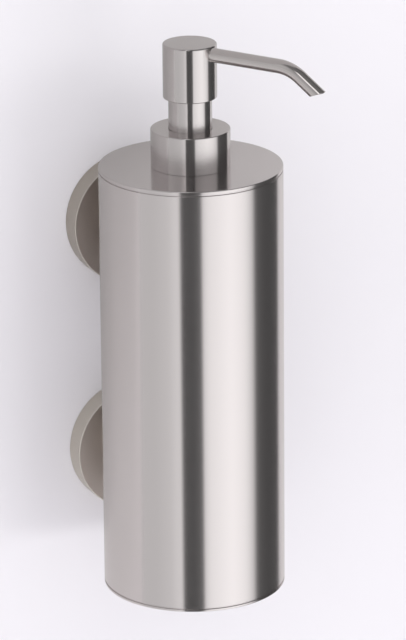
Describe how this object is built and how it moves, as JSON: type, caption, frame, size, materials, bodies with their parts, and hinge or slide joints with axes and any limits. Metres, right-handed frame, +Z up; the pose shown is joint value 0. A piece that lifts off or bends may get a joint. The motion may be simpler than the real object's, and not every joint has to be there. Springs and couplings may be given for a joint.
{
  "type": "liquid soap dispenser",
  "caption": "Wall-mounted cylindrical soap dispenser with a press pump and a turning bent spout, held by two round rosettes.",
  "frame": {"origin": "on the wall plane, in the middle of the four wall screw holes, midway between the two rosettes", "axes": "+Z is up along the body, +Y points into the wall, and the dispenser stands off towards -Y"},
  "size_m": [0.076, 0.121, 0.2345],
  "materials": {
    "satin_steel": "satin brushed stainless steel",
    "plate_steel": "plain zinc-plated steel",
    "screw_steel": "plain stainless steel",
    "spring_steel": "bright drawn wire",
    "bottle_plastic": "milky polyethylene",
    "pump_plastic": "white polypropylene",
    "seal_plastic": "soft polyethylene",
    "black_rubber": "black nitrile rubber"
  },
  "bodies": {
    "wall_body": {"body_tube": "satin_steel", "base_plate": "satin_steel", "top_cover": "satin_steel", "cover_seal_ring": "black_rubber", "inner_bottle": "bottle_plastic", "upper_rosette": "satin_steel", "lower_rosette": "satin_steel", "upper_wall_plate": "plate_steel", "lower_wall_plate": "plate_steel", "upper_post": "satin_steel", "lower_post": "satin_steel", "grub_screws": "screw_steel", "rosette_screws": "screw_steel", "tube_screws": "screw_steel", "saddle_washers": "plate_steel"},
    "pump": {"pump_housing": "pump_plastic", "stem_guide": "pump_plastic", "neck_gasket": "black_rubber", "dip_tube": "bottle_plastic", "return_spring": "spring_steel"},
    "collar": {"collar_shell": "satin_steel", "screw_cap": "pump_plastic"},
    "plunger": {"piston": "seal_plastic"},
    "head": {"head_shell": "satin_steel", "head_core": "pump_plastic", "spout_tube": "satin_steel", "stem": "pump_plastic", "stem_foot": "pump_plastic"},
    "inlet_valve": {"inlet_ball": "screw_steel"},
    "outlet_valve": {"outlet_ball": "screw_steel"}
  },
  "joints": [
    {"name": "pump_lift", "type": "slide", "parent": "wall_body", "child": "pump", "axis": [0, 0, 1], "range_m": [0, 0.19]},
    {"name": "collar_turn", "type": "hinge", "parent": "pump", "child": "collar", "pos_m": [0, -0.066, 0.1], "axis": [0, 0, 1], "continuous": true},
    {"name": "pump_press", "type": "slide", "parent": "pump", "child": "plunger", "axis": [0, 0, -1], "range_m": [0, 0.01], "stiffness_N_per_m": 700, "springref_m": -0.008, "deforming": ["return_spring"]},
    {"name": "head_turn", "type": "hinge", "parent": "plunger", "child": "head", "pos_m": [0, -0.066, 0.13], "axis": [0, 0, 1], "continuous": true},
    {"name": "inlet_ball_lift", "type": "slide", "parent": "pump", "child": "inlet_valve", "axis": [0, 0, 1], "range_m": [0, 0.0012]},
    {"name": "outlet_ball_lift", "type": "slide", "parent": "head", "child": "outlet_valve", "axis": [0, 0, 1], "range_m": [0, 0.0012]}
  ]
}
